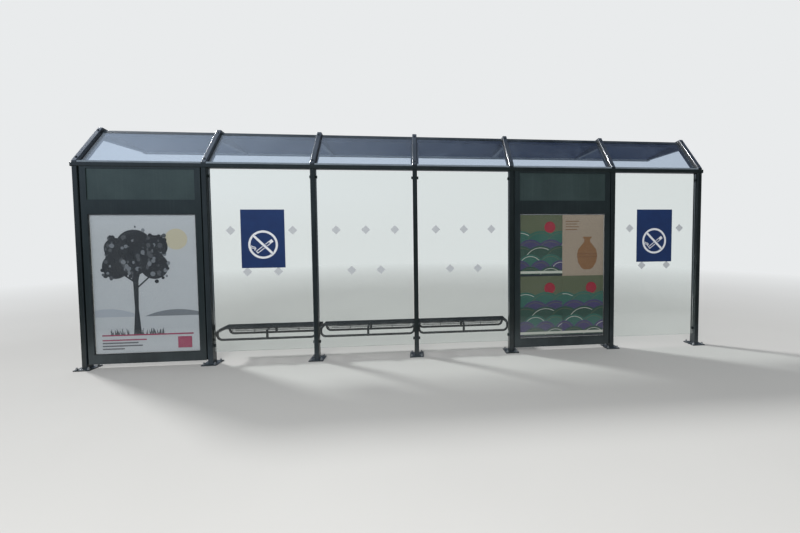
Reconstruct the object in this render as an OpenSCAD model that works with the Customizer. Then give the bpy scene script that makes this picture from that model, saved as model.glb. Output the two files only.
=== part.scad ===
// Bus shelter on seven posts: a glazed back wall with two poster cases, a steep glass
// back slope and a flat roof that the posts carry out over the waiting side.
// X runs along the wall, +Y points out over the waiting side, +Z is up.
// The origin is the middle of the underside of the middle post's foot plate.

/* [Bays] */
// Distance between post centres at a glass bay
glass_pitch = 1290; // [1150:10:1450]

/* [Posts] */
// Width of a post and of a roof frame, along the wall
post_w = 60; // [50:5:80]
// Depth of a post, across the wall
post_d = 100; // [90:5:130]
// Underside of the eave beam above the ground
eave_z = 2460; // [2300:10:2700]
// Width of a foot plate
plate_w = 180; // [160:5:220]
// Depth of a foot plate
plate_d = 200; // [180:5:260]
// Thickness of a foot plate
plate_t = 12; // [8:1:20]
// Distance between anchor holes along the wall
anchor_dx = 130; // [120:5:140]
// Distance between anchor holes across the wall
anchor_dy = 150; // [140:5:160]
// Diameter of an anchor hole
anchor_hole = 18; // [12:1:20]

/* [Roof] */
// Height of the eave beam
beam_h = 50; // [40:5:80]
// How far the beams run past the outer posts
beam_over = 18; // [5:1:40]
// Slope of the glass side of the roof
slope = 50; // [44:1:56]
// Rise of the roof frames from the eave gutter to their bend
roof_rise = 495; // [450:5:560]
// Depth of the sloping part of a roof frame
rafter_d = 100; // [90:5:110]
// Depth of the level arm at the bend
arm_d = 159; // [140:1:180]
// Depth of the level arm at its front end
arm_tip = 38; // [36:1:60]
// Inner radius of the bend
knee_r = 60; // [30:5:80]
// Front edge of the roof, from the middle of the posts
front_y = 1240; // [1000:10:1400]
// How far the roof frames stand above the flat roof at the bend
deck_drop = 36; // [25:1:45]
// How far the roof frames stand above the flat roof at the front
deck_drop_front = 12; // [5:1:20]
// Thickness of the flat roof panels
deck_t = 12; // [8:1:14]
// How far the flat roof reaches over the front gutter
deck_over = 15; // [5:1:25]
// How far the roof frames stand above the roof glass
glass_drop = 42; // [30:1:50]
// Thickness of the roof glass
roof_glass_t = 10; // [6:1:12]
// Gap between a pane or panel and its neighbours
pane_gap = 3; // [1:1:6]
// Width of the ledge under a roof pane
ledge_w = 22; // [15:1:30]
// Thickness of the ledge under a roof pane
ledge_t = 5; // [3:1:8]
// Reach of the ridge flashing on either side of the bend
flashing_w = 45; // [30:1:60]
// Thickness of the ridge flashing
flashing_t = 3; // [2:1:4]

/* [Front gutter] */
// How far the front gutter reaches below the arms
gutter_drop = 9; // [6:1:20]
// How far the front gutter's outer wall rises above the arms' ends
gutter_rise = 3; // [0:1:10]
// Depth of the front gutter
front_gutter_d = 60; // [45:1:80]
// Wall of the front gutter
front_gutter_t = 4; // [3:1:5]

/* [Eave gutter] */
// Height of the gutter channel on the eave beam
gutter_h = 20; // [15:1:30]
// Wall of the gutter channel
gutter_t = 3; // [2:1:4]

/* [Ridge] */
// Width of the ridge purlin
ridge_w = 40; // [30:1:50]
// Height of the ridge purlin
ridge_h = 60; // [40:1:70]

/* [Wall glass] */
// Thickness of a wall pane
wall_glass_t = 10; // [8:1:15]
// Gap from a pane's edge to the post
wall_glass_gap = 8; // [4:1:15]
// Lower edge of the wall panes
wall_glass_z = 150; // [80:10:240]
// Gap from a pane's top edge to the eave beam
wall_glass_top = 15; // [5:1:30]
// Reach of a glass clamp from the post
clamp_w = 34; // [25:1:45]
// Depth of a glass clamp
clamp_d = 34; // [30:1:50]
// Height of a glass clamp
clamp_h = 46; // [35:1:60]
// Distance of a clamp from the pane's upper or lower edge
clamp_inset = 60; // [20:5:150]

/* [Poster cases] */
// Lower edge of a case above the ground
case_z = 60; // [40:5:120]
// Depth of a case
case_d = 88; // [80:2:96]
// Width of a case's side stiles
stile_w = 84; // [60:2:110]
// Width of the shadow gap between a case and its posts
case_gap = 16; // [8:1:24]
// Depth of that gap from each face of the case
case_gap_d = 22; // [10:1:30]
// Height of the rail under the poster
case_rail_h = 115; // [90:5:140]
// Width of a poster
poster_w = 1196; // [1100:4:1240]
// Height of a poster
poster_h = 1700; // [1600:5:1740]
// Gap from a poster's edge to the frame of its window
poster_margin = 8; // [4:1:20]
// Height of the rail between poster window and header
mid_rail_h = 174; // [120:2:200]
// Height of the rail above the header
top_rail_h = 22; // [15:1:30]
// How far the header panel lies behind the case's face
header_recess = 9; // [5:1:15]
// How far the case glass lies behind the case's face
case_glass_recess = 8; // [5:1:12]
// Thickness of the case glass
case_glass_t = 6; // [4:1:8]
// Thickness of the light box that carries the posters
board_t = 40; // [30:1:48]
// Thickness of a poster
poster_t = 1; // [1:1:2]

/* [Signs] */
// Width of a sign on the glass
sign_w = 530; // [400:10:600]
// Height of a sign on the glass
sign_h = 740; // [600:10:800]
// Thickness of a sign
sign_t = 3; // [2:1:4]
// Lower edge of a sign above the ground
sign_z = 1208; // [1100:2:1300]
// Sign centre from the case-side post, left bay
sign_left_x = 657; // [500:1:760]
// Sign centre from the case-side post, right bay
sign_right_x = 640; // [500:1:760]

/* [Benches] */
// Gap from a bench end to the middle of the post
bench_gap = 14; // [8:1:20]
// Diameter of the bench tubes
tube_d = 30; // [26:1:34]
// Bend radius of the bench tubes at their middle line
tube_r = 60; // [50:1:70]
// Middle of the lower bench tubes above the ground
rail_z = 280; // [250:5:290]
// Distance between the rear and the front bench tube
bench_depth = 327; // [300:1:360]
// Top of the seat grille above the ground
seat_z = 408; // [400:2:440]
// Thickness of the grille rods, across their flats
rod_d = 6; // [5:1:8]
// Distance between grille rods
rod_pitch = 20; // [16:1:30]
// Distance from the rear bench tube to the first grille rod
seat_rear = 68; // [50:1:90]
// Radius of the seat's front edge, at the middle of the rods
seat_roll = 36; // [30:1:40]
// Bend radius of the rods at the seat's ends, at the middle of the rods
rod_r = 14; // [12:1:16]
// Length of the rods' turned-down ends
rod_leg = 36; // [20:1:44]
// Depth of the ribs under the rods
rib_h = 10; // [8:1:12]
// Thickness of the ribs under the rods
rib_t = 5; // [4:1:8]
// Number of ribs under a seat
rib_count = 5; // [3:2:7]
// Width of the hoop in the middle of a bench
hoop_w = 30; // [20:1:40]
// Thickness of the hoop in the middle of a bench
hoop_t = 6; // [5:1:8]
// Thickness of the lugs that fix a bench to the posts
lug_t = 8; // [6:1:12]
// Height of a lug
lug_h = 50; // [30:1:60]
// Distance of a lug from the middle of the post
lug_gap = 5; // [3:1:8]

/* [Hidden] */
$fn = 48;
eps = 1;
window_w = poster_w + 2 * poster_margin;
case_pitch = window_w + 2 * stile_w + post_w;
post_x = [-2 * glass_pitch - case_pitch, -2 * glass_pitch, -glass_pitch, 0,
          glass_pitch, glass_pitch + case_pitch, 2 * glass_pitch + case_pitch];
post_half = post_w / 2;
beam_top = eave_z + beam_h;
foot_z = beam_top + gutter_h;
end_x = post_x[6] + post_half + beam_over;
knee_z = foot_z + roof_rise;
knee_y = -post_d / 2 + roof_rise / tan(slope);
arm_z = knee_z - arm_d;
front_z = arm_z + arm_tip;
arm_end_y = front_y - front_gutter_d;
// Underside of the sloping part, where it would meet a height z
function under_y(z) = -post_d / 2 + (z - foot_z) / tan(slope) + rafter_d / sin(slope);
inner_knee_y = under_y(arm_z);
// Length that the inner rounding takes from each side of the bend
knee_fit = knee_r * tan(slope / 2);
knee_centre = [inner_knee_y + knee_fit, arm_z - knee_r];
// A point of the plane that lies drop below the sloping top face, at height z
function slope_y(z, drop) = -post_d / 2 + (z - foot_z) / tan(slope) + drop / sin(slope);
// Where roof glass and flat roof meet
ridge_z = knee_z - deck_drop;
ridge_y = slope_y(ridge_z, glass_drop);
deck_fall = (ridge_z - front_z + deck_drop_front) / (arm_end_y - ridge_y);
// Top face of the flat roof at depth y
function deck_z(y) = ridge_z - (y - ridge_y) * deck_fall;
wall_glass_h = eave_z - wall_glass_top - wall_glass_z;
glass_bays = [1, 2, 3, 5];
case_h = eave_z - case_z;
window_z = case_z + case_rail_h;
window_top = window_z + poster_h + 2 * poster_margin;
header_z = window_top + mid_rail_h;
header_h = eave_z - top_rail_h - header_z;
tube_rear_y = post_d / 2 + lug_t + tube_d / 2;
tube_front_y = tube_rear_y + bench_depth;
rod_z = seat_z - rod_d / 2;
arm_tube_z = seat_z - rod_d - tube_d / 2;
hoop_z = rod_z - rib_h;
bench_half = glass_pitch / 2 - bench_gap - rod_d - tube_d / 2;
// Middle of the front rods, of the turned-down ends and of the front roll
rod_front_y = tube_front_y + tube_d / 2 + rib_h;
rod_end_x = bench_half + tube_d / 2 + rod_d / 2;
roll_y = rod_front_y - seat_roll;
roll_z = rod_z - seat_roll;
rod_rear_y = tube_rear_y + seat_rear;

module at_post(i) { translate([post_x[i], 0, 0]) children(); }

// Turns an outline drawn in (y, z) into a slab of the given width about x = 0
module slab(width) {
    translate([-width / 2, 0, 0])
        rotate([90, 0, 90]) linear_extrude(width) children();
}

module box(x0, x1, y0, y1, z0, z1) {
    translate([x0, y0, z0]) cube([x1 - x0, y1 - y0, z1 - z0]);
}

// Post: rectangular tube on a foot plate with four anchor holes
module post(i) {
    color("darkslategray") at_post(i) difference() {
        union() {
            box(-plate_w / 2, plate_w / 2, -plate_d / 2, plate_d / 2, 0, plate_t);
            box(-post_half, post_half, -post_d / 2, post_d / 2, plate_t, eave_z);
        }
        for (sx = [-1, 1], sy = [-1, 1])
            translate([sx * anchor_dx / 2, sy * anchor_dy / 2, -eps])
                cylinder(d = anchor_hole, h = plate_t + 2 * eps);
    }
}

// Roof frame: a steep leg on the eave beam and a level arm that tapers to the front
module roof_frame(i) {
    color("darkslategray") at_post(i) slab(post_w) difference() {
        polygon([[-post_d / 2, beam_top], [-post_d / 2, foot_z], [knee_y, knee_z],
                 [arm_end_y, front_z], [arm_end_y, arm_z],
                 [inner_knee_y + knee_fit, arm_z],
                 [under_y(arm_z - knee_fit * sin(slope)), arm_z - knee_fit * sin(slope)],
                 [under_y(beam_top), beam_top]]);
        translate(knee_centre) circle(knee_r);
    }
}

// Beam along the tops of the posts
module eave_beam() {
    color("darkslategray")
        box(-end_x, end_x, -post_d / 2, post_d / 2, eave_z, beam_top);
}

// Open channel on the eave beam between the feet of the roof frames
module eave_gutter() {
    color("slategray") for (i = [0 : 5]) {
        x0 = post_x[i] + post_half;
        x1 = post_x[i + 1] - post_half;
        difference() {
            box(x0, x1, -post_d / 2, post_d / 2, beam_top, foot_z);
            box(x0 - eps, x1 + eps, -post_d / 2 + gutter_t, post_d / 2 - gutter_t,
                beam_top + gutter_t, foot_z + eps);
        }
    }
}

// Purlin between the roof frames, under the edge where glass and flat roof meet
module ridge_purlin() {
    y0 = ridge_y + ledge_t;
    y1 = y0 + ridge_w;
    bottom = deck_z(y1) - deck_t - ridge_h;
    color("darkslategray") for (i = [0 : 5])
        translate([(post_x[i] + post_x[i + 1]) / 2, 0, 0])
            slab(post_x[i + 1] - post_x[i] - post_w)
                polygon([[y0, bottom], [y1, bottom],
                         [y1, deck_z(y1) - deck_t], [y0, deck_z(y0) - deck_t]]);
}

// Bent strip over the joint between roof glass and flat roof
module ridge_flashing() {
    ridge = [ridge_y, ridge_z];
    dir = [-cos(slope), -sin(slope)];
    out = [-sin(slope), cos(slope)] * flashing_t;
    back = [ridge_y + flashing_w, deck_z(ridge_y + flashing_w)];
    color("slategray") for (i = [0 : 5])
        translate([(post_x[i] + post_x[i + 1]) / 2, 0, 0])
            slab(post_x[i + 1] - post_x[i] - post_w)
                polygon([ridge, ridge + dir * flashing_w, ridge + dir * flashing_w + out,
                         [ridge_y - flashing_t * tan(slope / 2), ridge_z + flashing_t],
                         back + [0, flashing_t], back]);
}

// Gutter along the front: a high outer wall and a low inner one under the flat roof
module front_gutter() {
    half = post_x[6] + post_half + front_gutter_t;
    wall = front_gutter_t;
    bottom = arm_z - gutter_drop;
    top = front_z + gutter_rise;
    inner_top = deck_z(arm_end_y + wall) - deck_t;
    color("darkslategray") difference() {
        box(-half, half, arm_end_y, front_y, bottom, top);
        box(-half + wall, half - wall, arm_end_y + wall, front_y - wall, bottom + wall, top + eps);
        box(-half + wall, half - wall, arm_end_y - eps, arm_end_y + wall + eps,
            inner_top, top + eps);
    }
}

// Panes of the steep slope, one between each two roof frames
module roof_glass() {
    z0 = foot_z + pane_gap;
    z1 = ridge_z;
    color("lightblue", 0.4) for (i = [0 : 5])
        translate([(post_x[i] + post_x[i + 1]) / 2, 0, 0])
            slab(post_x[i + 1] - post_x[i] - post_w - 2 * pane_gap)
                polygon([[slope_y(z0, glass_drop), z0], [slope_y(z1, glass_drop), z1],
                         [slope_y(z1, glass_drop) + roof_glass_t * sin(slope),
                          z1 - roof_glass_t * cos(slope)],
                         [slope_y(z0, glass_drop) + roof_glass_t * sin(slope),
                          z0 - roof_glass_t * cos(slope)]]);
}

// Ledges on the sides of the roof frames that carry the panes
module glazing_ledges() {
    z0 = foot_z + ledge_w;
    z1 = arm_z;
    under = glass_drop + roof_glass_t;
    color("slategray") for (i = [0 : 5], side = [0, 1])
        translate([side == 0 ? post_x[i] + post_half + ledge_w / 2
                             : post_x[i + 1] - post_half - ledge_w / 2, 0, 0])
            slab(ledge_w)
                polygon([[slope_y(z0, under), z0], [slope_y(z1, under), z1],
                         [slope_y(z1, under) + ledge_t * sin(slope), z1 - ledge_t * cos(slope)],
                         [slope_y(z0, under) + ledge_t * sin(slope), z0 - ledge_t * cos(slope)]]);
}

// Flat roof panels between the arms
module roof_deck() {
    y0 = ridge_y + ledge_t;
    y1 = arm_end_y + deck_over;
    color("dimgray") for (i = [0 : 5])
        translate([(post_x[i] + post_x[i + 1]) / 2, 0, 0])
            slab(post_x[i + 1] - post_x[i] - post_w)
                polygon([[y0, deck_z(y0)], [y1, deck_z(y1)],
                         [y1, deck_z(y1) - deck_t], [y0, deck_z(y0) - deck_t]]);
}

// Pane of a glass bay
module wall_glass(bay) {
    color("lightblue", 0.4)
        box(post_x[bay] + post_half + wall_glass_gap, post_x[bay + 1] - post_half - wall_glass_gap,
            -wall_glass_t / 2, wall_glass_t / 2, wall_glass_z, wall_glass_z + wall_glass_h);
}

// Clamps on the posts' sides that grip the panes' edges
module glass_clamps() {
    low = wall_glass_z + clamp_inset;
    high = wall_glass_z + wall_glass_h - clamp_inset - clamp_h;
    color("slategray") for (bay = glass_bays, side = [0, 1], z = [low, high]) {
        x0 = side == 0 ? post_x[bay] + post_half : post_x[bay + 1] - post_half - clamp_w;
        pane0 = side == 0 ? x0 + wall_glass_gap : x0 - eps;
        difference() {
            box(x0, x0 + clamp_w, -clamp_d / 2, clamp_d / 2, z, z + clamp_h);
            box(pane0, pane0 + clamp_w - wall_glass_gap + eps, -wall_glass_t / 2,
                wall_glass_t / 2, z - eps, z + clamp_h + eps);
        }
    }
}

// Case body: open for the posters and the header, with a shadow gap along each post
module case_frame(i) {
    x0 = post_x[i] + post_half;
    x1 = post_x[i + 1] - post_half;
    color("darkslategray") difference() {
        box(x0, x1, -case_d / 2, case_d / 2, case_z, eave_z);
        box(x0 + stile_w, x1 - stile_w, -case_d, case_d, window_z, window_top);
        box(x0 + stile_w, x1 - stile_w, -case_d, case_d, header_z, header_z + header_h);
        for (x = [x0, x1], side = [-1, 1])
            translate([x, side * case_d / 2, (case_z + eave_z) / 2])
                cube([2 * case_gap, 2 * case_gap_d, case_h + 2 * eps], center = true);
    }
}

module case_header(i) {
    color("seagreen")
        box(post_x[i] + post_half + stile_w, post_x[i + 1] - post_half - stile_w,
            -case_d / 2 + header_recess, case_d / 2 - header_recess,
            header_z, header_z + header_h);
}

module case_board(i) {
    color("gainsboro")
        box(post_x[i] + post_half + stile_w, post_x[i + 1] - post_half - stile_w,
            -board_t / 2, board_t / 2, window_z, window_top);
}

// A poster on each side of the board
module case_posters(i) {
    mid_x = (post_x[i] + post_x[i + 1]) / 2;
    mid_z = (window_z + window_top) / 2;
    color("white") for (side = [-1, 1])
        translate([mid_x, side * (board_t + poster_t) / 2, mid_z])
            cube([poster_w, poster_t, poster_h], center = true);
}

// A pane over each poster
module case_glass(i) {
    color("lightblue", 0.4) for (side = [-1, 1])
        translate([(post_x[i] + post_x[i + 1]) / 2,
                   side * (case_d / 2 - case_glass_recess - case_glass_t / 2),
                   (window_z + window_top) / 2])
            cube([window_w, case_glass_t, window_top - window_z], center = true);
}

// Sign on the road side of a pane
module sign(centre_x) {
    color("midnightblue")
        box(centre_x - sign_w / 2, centre_x + sign_w / 2, -wall_glass_t / 2 - sign_t,
            -wall_glass_t / 2, sign_z, sign_z + sign_h);
}

// Bench tube in the plane of x and z: a lower rail with both ends bent upwards
module bench_rail(y) {
    straight = bench_half - tube_r;
    translate([0, y, 0]) {
        translate([-straight, 0, rail_z]) rotate([0, 90, 0])
            cylinder(d = tube_d, h = 2 * straight);
        for (side = [0, 1]) mirror([side, 0, 0]) {
            translate([straight, 0, rail_z + tube_r]) rotate([90, 0, 0]) rotate([0, 0, -90])
                rotate_extrude(angle = 90) translate([tube_r, 0]) circle(d = tube_d);
            translate([bench_half, 0, rail_z + tube_r])
                cylinder(d = tube_d, h = arm_tube_z - rail_z - tube_r);
            translate([bench_half, 0, arm_tube_z]) sphere(d = tube_d);
        }
    }
}

// Bench frame: two rails, an arm across each end, a hoop in the middle and two lugs
module bench_frame(bay) {
    color("darkslategray") translate([(post_x[bay] + post_x[bay + 1]) / 2, 0, 0]) {
        bench_rail(tube_rear_y);
        bench_rail(tube_front_y);
        for (side = [0, 1]) mirror([side, 0, 0]) {
            translate([bench_half, tube_rear_y, arm_tube_z]) rotate([-90, 0, 0])
                cylinder(d = tube_d, h = bench_depth);
            box(bench_half, glass_pitch / 2 - lug_gap, post_d / 2, tube_rear_y,
                arm_tube_z - lug_h, arm_tube_z);
        }
        difference() {
            box(-hoop_w / 2, hoop_w / 2, tube_rear_y - hoop_t / 2, tube_front_y + hoop_t / 2,
                rail_z, hoop_z);
            box(-hoop_w, hoop_w, tube_rear_y + hoop_t / 2, tube_front_y - hoop_t / 2,
                rail_z - eps, hoop_z - hoop_t);
        }
    }
}

// Grille rod of six sides with a flat side on top, along X
module rod(length) {
    translate([-length / 2, 0, 0]) rotate([0, 90, 0]) linear_extrude(length) rod_section();
}
module rod_section() {
    rotate(30) circle(d = rod_d / cos(30), $fn = 6);
}

// Rod of the seat's top: its ends are bent down outside the bench's end arms
module top_rod() {
    translate([0, 0, rod_z]) {
        rod(2 * (rod_end_x - rod_r));
        for (side = [0, 1]) mirror([side, 0, 0]) translate([rod_end_x - rod_r, 0, -rod_r]) {
            rotate([90, 0, 0]) rotate_extrude(angle = 90) translate([rod_r, 0]) rod_section();
            translate([rod_r, 0, -rod_leg]) linear_extrude(rod_leg) rod_section();
        }
    }
}

// Outline of a rib in (y, z): flat under the seat, round at the front and down to the rail
module rib_outline() {
    translate([rod_rear_y - rod_d, rod_z - rib_h]) square([roll_y - rod_rear_y + rod_d, rib_h]);
    intersection() {
        difference() {
            translate([roll_y, roll_z]) circle(seat_roll);
            translate([roll_y, roll_z]) circle(seat_roll - rib_h);
        }
        translate([roll_y, roll_z]) square(seat_roll);
    }
    translate([rod_front_y - rib_h, rail_z]) square([rib_h, roll_z - rail_z]);
}

// Seat grille: rods along the bench on ribs across it
module bench_seat(bay) {
    flat = roll_y - rod_rear_y;
    top_count = floor(flat / rod_pitch);
    roll_count = max(1, round(seat_roll * PI / 2 / rod_pitch));
    front_count = floor((roll_z - rail_z - tube_d / 2) / rod_pitch);
    rib_span = 2 * (bench_half - tube_d / 2 - rib_t);
    color("darkslategray") translate([(post_x[bay] + post_x[bay + 1]) / 2, 0, 0]) {
        for (k = [0 : top_count]) translate([0, roll_y - k * rod_pitch, 0]) top_rod();
        for (k = [1 : roll_count])
            translate([0, roll_y, roll_z]) rotate([-90 * k / roll_count, 0, 0])
                translate([0, 0, seat_roll]) rod(2 * rod_end_x);
        for (k = [1 : front_count])
            translate([0, rod_front_y, roll_z - k * rod_pitch]) rod(2 * (bench_half - tube_r));
        for (k = [0 : rib_count - 1])
            translate([(k / (rib_count - 1) - 0.5) * rib_span, 0, 0]) slab(rib_t) rib_outline();
    }
}

post(0);  // post_1
post(1);  // post_2
post(2);  // post_3
post(3);  // post_4
post(4);  // post_5
post(5);  // post_6
post(6);  // post_7
roof_frame(0);  // roof_frame_1
roof_frame(1);  // roof_frame_2
roof_frame(2);  // roof_frame_3
roof_frame(3);  // roof_frame_4
roof_frame(4);  // roof_frame_5
roof_frame(5);  // roof_frame_6
roof_frame(6);  // roof_frame_7
eave_beam();
eave_gutter();
ridge_purlin();
ridge_flashing();
front_gutter();
roof_glass();
glazing_ledges();
roof_deck();
wall_glass(1);  // wall_glass_1
wall_glass(2);  // wall_glass_2
wall_glass(3);  // wall_glass_3
wall_glass(5);  // wall_glass_4
glass_clamps();
bench_frame(1);  // bench_frame_1
bench_frame(2);  // bench_frame_2
bench_frame(3);  // bench_frame_3
bench_seat(1);  // bench_seat_1
bench_seat(2);  // bench_seat_2
bench_seat(3);  // bench_seat_3
case_frame(0);  // left_case_frame
case_header(0);  // left_case_header
case_board(0);  // left_case_board
case_posters(0);  // left_case_posters
case_glass(0);  // left_case_glass
case_frame(4);  // right_case_frame
case_header(4);  // right_case_header
case_board(4);  // right_case_board
case_posters(4);  // right_case_posters
case_glass(4);  // right_case_glass
sign(post_x[1] + sign_left_x);  // left_sign
sign(post_x[5] + sign_right_x);  // right_sign
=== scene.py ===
import math
import random

import bmesh
import bpy
from mathutils import Matrix, Vector


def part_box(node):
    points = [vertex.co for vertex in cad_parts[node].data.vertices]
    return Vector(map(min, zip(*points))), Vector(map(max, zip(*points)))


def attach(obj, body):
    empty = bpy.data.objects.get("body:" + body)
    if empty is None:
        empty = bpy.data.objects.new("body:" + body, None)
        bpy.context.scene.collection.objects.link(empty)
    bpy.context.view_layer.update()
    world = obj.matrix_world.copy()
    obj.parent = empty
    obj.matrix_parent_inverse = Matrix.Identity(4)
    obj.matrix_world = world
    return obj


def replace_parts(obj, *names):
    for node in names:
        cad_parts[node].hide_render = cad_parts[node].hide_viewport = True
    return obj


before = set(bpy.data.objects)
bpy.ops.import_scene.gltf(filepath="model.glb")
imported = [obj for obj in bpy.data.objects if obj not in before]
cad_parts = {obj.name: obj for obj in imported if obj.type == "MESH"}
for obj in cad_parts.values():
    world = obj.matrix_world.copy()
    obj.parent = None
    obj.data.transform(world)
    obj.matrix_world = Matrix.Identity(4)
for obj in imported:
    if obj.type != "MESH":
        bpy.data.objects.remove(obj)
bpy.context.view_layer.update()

scene = bpy.context.scene
scene.view_settings.view_transform = "Standard"
print("stage 1: packed model loaded")

# Sizes of the shelter that several pieces share, in metres and degrees
shelter = {
    "postCount": 7, "postWidth": 0.060, "postDepth": 0.100, "footPlate": 0.012, "slopeDeg": 50.0,
    "glassDrop": 0.042,  # roof glass below the frames' top faces
    "paneHalf": 0.005, "glassBays": (1, 2, 3, 5), "benchBays": (1, 2, 3)}


def boxOf(node):
    low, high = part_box(node)
    return Vector(low), Vector(high)


postX = []
for number in range(1, shelter["postCount"] + 1):
    low, high = boxOf("post_%d" % number)
    postX.append((low.x + high.x) / 2)


def linear(code):
    # sRGB hex colour to the linear values that the sockets take
    values = []
    for start in (1, 3, 5):
        part = int(code[start:start + 2], 16) / 255
        values.append(part / 12.92 if part <= 0.04045 else ((part + 0.055) / 1.055) ** 2.4)
    return values + [1.0]


def addNode(tree, kind, inputs=(), out=None, **settings):
    # inputs holds values, hex colours or other nodes' outputs, by socket or in the sockets' order;
    # out is the output to hand back in place of the node
    node = tree.nodes.new("ShaderNode" + kind)
    for key, value in settings.items():
        setattr(node, key, value)
    pairs = inputs.items() if isinstance(inputs, dict) else enumerate(inputs)
    for socket, value in pairs:
        if isinstance(value, bpy.types.NodeSocket):
            tree.links.new(value, node.inputs[socket])
        else:
            node.inputs[socket].default_value = linear(value) if isinstance(value, str) else value
    return node if out is None else node.outputs[out]


def layered(tree, color, layers):
    # lays colours over one another; each layer is a mask, its colour and, where they aren't 0 to 1,
    # the mask's limits and the least and most that the layer covers
    for mask, cover, *limits in layers:
        amount = addNode(tree, "MapRange", (mask, *limits), 0)
        color = addNode(tree, "Mix", {"Factor": amount, "A": color, "B": cover}, "Result",
                        data_type="RGBA")
    return color


def newMaterial(name):
    # a material without nodes, its tree and the socket of the object's own coordinates
    material = bpy.data.materials.new(name)
    material.use_nodes = True
    tree = material.node_tree
    tree.nodes.clear()
    return material, tree, addNode(tree, "TexCoord", out="Object")


def perMetre(sizeMm):
    # texture scale for a pattern that repeats about every sizeMm
    return 1000.0 / sizeMm


print("stage 2: helpers ready")

# Painted steel: the values that most coats share; a finish below names only what differs

# rubbedAndHighlight and edgeRubAndHighlight colour the edges as worn paint and as a painted highlight
plainCoat = {
    "dust": "#68727d", "rubbedAndHighlight": "#45514f", "edgeMm": 1.5, "edgeRubAndHighlight": 0.35, "mottleMm": 260, "gritMm": 2.6,
    "gritDepth": 0.12, "streaks": 0.04, "streakMm": (22, 700), "dustOnTop": 0.42, "dustFaces": (0.35, 0.95),
    "dustHeight": (0.05, 0.20), "splash": 0.0, "splashHeight": 0.35, "specular": 0.4, "gloss": 0.4,
    "coatRoughness": 0.16, "coatIor": 1.5, "roughness": (0.36, 0.50)}


def powderCoat(finish):
    look = {**plainCoat, **finish}
    material, tree, place = newMaterial(look["name"])
    normal = addNode(tree, "NewGeometry", out="Normal")
    rounded = addNode(tree, "Bevel", {"Radius": look["edgeMm"] / 1000}, "Normal", samples=4)
    mottle = addNode(tree, "TexNoise", {
        "Vector": place, "Scale": perMetre(look["mottleMm"]), "Detail": 6.0, "Roughness": 0.62}, "Fac")
    grit = addNode(tree, "TexNoise", {
        "Vector": place, "Scale": perMetre(look["gritMm"]), "Detail": 3.0}, "Fac")
    # rain leaves faint upright streaks of dried dust
    wide, tall = [perMetre(size) for size in look["streakMm"]]
    stretched = addNode(tree, "VectorMath", (place, (wide, wide, tall)), 0, operation="MULTIPLY")
    streaks = addNode(tree, "TexNoise", {
        "Vector": stretched, "Scale": 1.0, "Detail": 4.0, "Roughness": 0.7}, "Fac")
    # dust lies on faces that look up and splashes on what stands near the ground
    axes = addNode(tree, "SeparateXYZ", (normal,)).outputs
    height = addNode(tree, "SeparateXYZ", (place,), "Z")
    lying = addNode(tree, "Math", (
        addNode(tree, "MapRange", (axes["Z"], *look["dustFaces"], 0.0, look["dustOnTop"]), 0),
        addNode(tree, "MapRange", (height, *look["dustHeight"]), 0)), 0, operation="MULTIPLY")
    splash = addNode(tree, "MapRange", (height, 0.0, look["splashHeight"], look["splash"], 0.0), 0)
    either = addNode(tree, "Math", (lying, splash), 0, operation="MAXIMUM")
    patchy = addNode(tree, "Math", (either, addNode(tree, "MapRange", (mottle, 0.25, 0.62), 0)), 0,
                     operation="MULTIPLY")
    # the coat is thin on edges and rubs paler there; the paler edges are also a painted highlight along
    # every edge
    turned = addNode(tree, "VectorMath", (rounded, normal), "Value", operation="DOT_PRODUCT")
    layers = [(mottle, look["faded"], 0.32, 0.70),
              (streaks, look["dust"], 0.50, 0.78, 0.0, look["streaks"]), (patchy, look["dust"]),
              (turned, look["rubbedAndHighlight"], 0.995, 0.80, 0.0, look["edgeRubAndHighlight"])]
    if "liner" in look:
        # faces turned towards the wall take the pale liner colour
        layers.append((axes["Y"], look["liner"], -0.6, -0.8))
    bump = addNode(tree, "Bump", {
        "Height": grit, "Strength": 0.35, "Distance": look["gritMm"] / 1000 * look["gritDepth"],
        "Normal": rounded}, "Normal")
    coat = addNode(tree, "BsdfPrincipled", {
        "Base Color": layered(tree, look["color"], layers),
        "Roughness": addNode(tree, "MapRange", (mottle, 0.25, 0.75, *look["roughness"]), 0),
        "IOR": 1.5,
        "Specular IOR Level": look["specular"],
        "Coat Weight": look["gloss"],
        "Coat Roughness": look["coatRoughness"],
        "Coat IOR": look["coatIor"],
        "Coat Normal": rounded,
        "Normal": bump}, 0)
    addNode(tree, "OutputMaterial", (coat,))
    return material


# Polyester powder coat on steel: black-green satin, slightly pebbled, faded unevenly by sun and rain
framePaint = powderCoat({
    "name": "powderCoatBlackGreen", "color": "#101817", "faded": "#182120", "splash": 0.20})

# The same coat on the roof frames, washed by rain: glossier, so it mirrors the ceiling and the key lamp
roofPaint = powderCoat({
    "name": "powderCoatRoof", "color": "#0d1416", "faded": "#151d1f", "dustOnTop": 0.50, "gloss": 0.9,
    "coatIor": 1.7, "coatRoughness": 0.20})

# The same coat on the ridge purlin, in a duller blue-grey
purlinPaint = powderCoat({
    "name": "powderCoatPurlin", "color": "#232d3c", "faded": "#2a3546", "edgeRubAndHighlight": 0.3, "mottleMm": 400,
    "streaks": 0.0, "dustOnTop": 0.20, "specular": 0.2, "gloss": 0.1, "roughness": (0.50, 0.62)})

# The same coat on the cases' sheet metal, a little smoother and duller
casePaint = powderCoat({
    "name": "powderCoatCase", "color": "#172021", "faded": "#1e292a", "dust": "#6c747a",
    "rubbedAndHighlight": "#485553", "edgeMm": 2.0, "mottleMm": 420, "gritMm": 2.2, "streaks": 0.06,
    "dustOnTop": 0.30, "splash": 0.20, "gloss": 0.3, "roughness": (0.38, 0.50)})

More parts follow.
